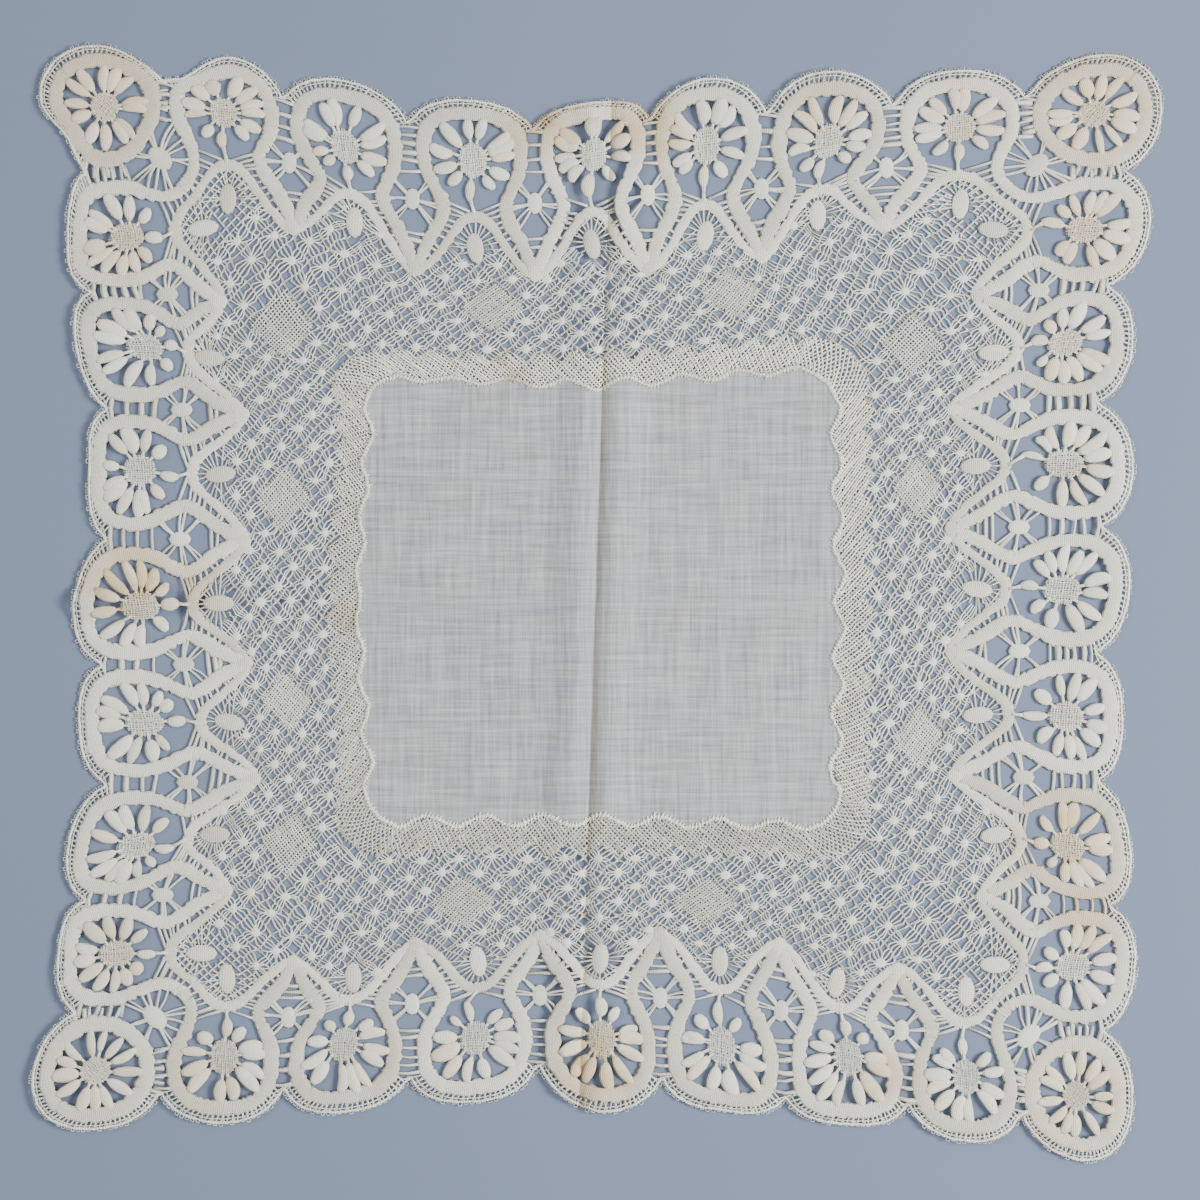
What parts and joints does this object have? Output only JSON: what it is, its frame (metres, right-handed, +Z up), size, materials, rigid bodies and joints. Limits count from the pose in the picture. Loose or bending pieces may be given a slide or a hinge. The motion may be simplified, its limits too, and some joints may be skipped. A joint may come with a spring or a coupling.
{
  "type": "lace handkerchief",
  "caption": "Square handkerchief: a wide bobbin lace border with a scalloped edge round a small sheer cloth centre, lying flat with soft fold creases.",
  "frame": {"origin": "middle of the outline, on the surface the handkerchief lies on", "axes": "+Z up out of the face, +Y toward the top edge of the picture, +X toward its right edge"},
  "size_m": [0.3104, 0.3062, 0.0036],
  "materials": {
    "cream_lace": "matt cream linen thread with tan age stains",
    "sheer_cloth": "thin plain weave, slightly see-through, white thread over a darker ground"
  },
  "bodies": {
    "root": {"lace_border": "cream_lace", "centre_cloth": "sheer_cloth"}
  },
  "joints": []
}
